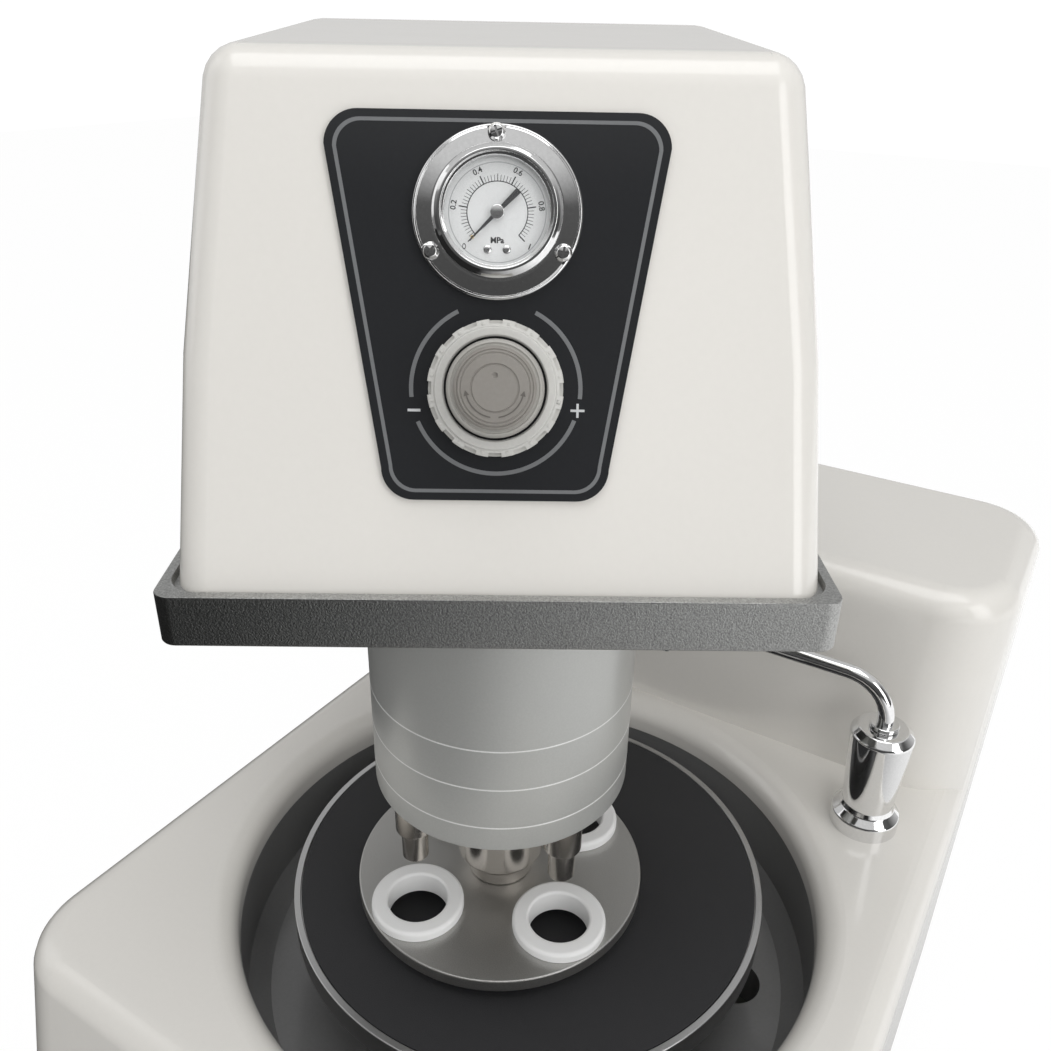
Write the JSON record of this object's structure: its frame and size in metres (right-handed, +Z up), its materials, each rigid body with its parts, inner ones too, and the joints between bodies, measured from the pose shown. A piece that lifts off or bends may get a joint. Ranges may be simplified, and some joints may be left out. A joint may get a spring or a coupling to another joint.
{
  "type": "metallographic grinder-polisher",
  "caption": "Bench-top metallographic grinder-polisher with a swinging automatic sample head, pressure gauge, four pins, holder disc, platen, bowl and faucet",
  "frame": {"origin": "on the floor, in the middle of the footprint, which includes the rear fittings", "axes": "+X to the operator's right, +Y to the back, +Z up"},
  "size_m": [0.39, 0.59, 0.6696],
  "materials": {
    "rubber": "moulded",
    "shell_white": "glossy moulded",
    "basin_grey": "satin moulded",
    "blasted_aluminium": "bead blasted",
    "satin_drum": "satin anodised",
    "cast_metal": "as machined",
    "steel": "ground",
    "chrome": "polished",
    "brass_nickel": "turned",
    "painted_panel": "satin painted",
    "dark_panel": "glossy printed",
    "screen_glass": "polished",
    "clear_lens": "clear polished",
    "dial_white": "matt printed",
    "black_paint": "matt",
    "black_plastic": "moulded",
    "red_plastic": "moulded",
    "yellow_plastic": "moulded",
    "grey_plastic": "moulded",
    "warm_grey": "moulded",
    "motor_black": "satin painted",
    "grit_paper": "abrasive coated",
    "ptfe": "turned",
    "drain_plastic": "extruded"
  },
  "bodies": {
    "base": {"rubber_feet": "rubber", "base_pan": "steel", "base_shell": "shell_white", "bowl": "basin_grey", "drain_pipe": "drain_plastic", "drive_frame": "steel", "spindle_housing": "cast_metal", "spindle_bearings": "steel", "platen_motor": "motor_black", "platen_belt": "rubber", "rear_panel": "painted_panel", "power_inlet": "black_plastic", "rear_fittings": "brass_nickel", "control_panel": "dark_panel", "touch_screen": "screen_glass", "emergency_switch": "yellow_plastic", "column_tube": "steel", "faucet_body": "chrome"},
    "lift_ram": {"lift_ram": "chrome"},
    "lock_lever": {"lock_lever": "black_plastic"},
    "platen": {"platen_spindle": "steel", "driven_pulley": "cast_metal", "platen": "blasted_aluminium", "polishing_disc": "grit_paper"},
    "motor_pulley": {"motor_pulley": "cast_metal"},
    "power_rocker": {"power_rocker": "red_plastic"},
    "emergency_button": {"emergency_button": "red_plastic"},
    "faucet_spout": {"faucet_spout": "chrome"},
    "head": {"head_plate": "blasted_aluminium", "head_clamp": "cast_metal", "head_shell": "shell_white", "fascia": "dark_panel", "gauge_case": "chrome", "gauge_flange": "chrome", "gauge_dial": "dial_white", "gauge_lens": "clear_lens", "gauge_screws": "chrome", "regulator_body": "black_plastic", "regulator_nut": "grey_plastic", "head_motor": "motor_black", "head_belt": "rubber", "spindle_carrier": "cast_metal", "head_bearings": "steel"},
    "gauge_needle": {"gauge_needle": "black_paint"},
    "regulator_stem": {"regulator_stem": "steel"},
    "regulator_knob": {"regulator_knob": "warm_grey"},
    "head_motor_pulley": {"head_motor_pulley": "cast_metal"},
    "drum": {"drum_spindle": "steel", "drum_upper": "satin_drum", "cylinder_block": "satin_drum", "drum_lower": "satin_drum", "drum_end": "satin_drum", "pin_guides": "chrome", "chuck_hub": "chrome", "holder_disc": "blasted_aluminium", "specimen_bushes": "ptfe"},
    "pin_1": {"pin_1": "chrome"},
    "pin_2": {"pin_2": "chrome"},
    "pin_3": {"pin_3": "chrome"},
    "pin_4": {"pin_4": "chrome"}
  },
  "joints": [
    {"name": "head_lift", "type": "slide", "parent": "base", "child": "lift_ram", "axis": [0, 0, 1], "range_m": [0, 0.06]},
    {"name": "head_swing", "type": "hinge", "parent": "lift_ram", "child": "head", "pos_m": [-0.14757, 0.14497, 0.475], "axis": [0, 0, 1], "range_deg": [-100, 0]},
    {"name": "lever_turn", "type": "hinge", "parent": "head", "child": "lock_lever", "pos_m": [-0.15862, 0.18892, 0.463], "axis": [0.8434, 0.5373, 0], "range_deg": [-50, 0]},
    {"name": "drum_spin", "type": "hinge", "parent": "head", "child": "drum", "pos_m": [-0.0068, -0.076, 0.474], "axis": [0, 0, 1], "continuous": true},
    {"name": "pin_1_press", "type": "slide", "parent": "drum", "child": "pin_1", "axis": [0, 0, -1], "range_m": [0, 0.022]},
    {"name": "pin_2_press", "type": "slide", "parent": "drum", "child": "pin_2", "axis": [0, 0, -1], "range_m": [0, 0.022]},
    {"name": "pin_3_press", "type": "slide", "parent": "drum", "child": "pin_3", "axis": [0, 0, -1], "range_m": [0, 0.022]},
    {"name": "pin_4_press", "type": "slide", "parent": "drum", "child": "pin_4", "axis": [0, 0, -1], "range_m": [0, 0.022]},
    {"name": "platen_spin", "type": "hinge", "parent": "base", "child": "platen", "pos_m": [0, -0.058, 0.242], "axis": [0, 0, 1], "continuous": true},
    {"name": "motor_spin", "type": "hinge", "parent": "base", "child": "motor_pulley", "pos_m": [0, 0.182, 0.111], "axis": [0, 0, 1], "continuous": true},
    {"name": "head_motor_spin", "type": "hinge", "parent": "head", "child": "head_motor_pulley", "pos_m": [-0.04978, -0.00853, 0.5105], "axis": [0, 0, 1], "continuous": true},
    {"name": "needle_turn", "type": "hinge", "parent": "head", "child": "gauge_needle", "pos_m": [0.02154, -0.12421, 0.61487], "axis": [0.5049, -0.7925, 0.342], "range_deg": [-270, 0]},
    {"name": "knob_pull", "type": "slide", "parent": "head", "child": "regulator_stem", "axis": [0.5049, -0.7925, 0.342], "range_m": [0, 0.0025]},
    {"name": "knob_turn", "type": "hinge", "parent": "regulator_stem", "child": "regulator_knob", "pos_m": [0.03903, -0.15166, 0.56637], "axis": [0.5049, -0.7925, 0.342], "range_deg": [-540, 540]},
    {"name": "spout_swivel", "type": "hinge", "parent": "base", "child": "faucet_spout", "pos_m": [0.148, 0.073, 0.328], "axis": [0, 0, 1], "range_deg": [0, 90]},
    {"name": "emergency_press", "type": "slide", "parent": "base", "child": "emergency_button", "axis": [0, 0.9805, -0.1965], "range_m": [0, 0.004], "stiffness_N_per_m": 900},
    {"name": "power_switch", "type": "hinge", "parent": "base", "child": "power_rocker", "pos_m": [-0.105, 0.272, 0.0935], "axis": [1, 0, 0], "range_deg": [-10, 0]}
  ],
  "couplings": [
    {"joint": "motor_spin", "follows": "platen_spin", "ratio": 2.48},
    {"joint": "head_motor_spin", "follows": "drum_spin", "ratio": 1.886}
  ]
}
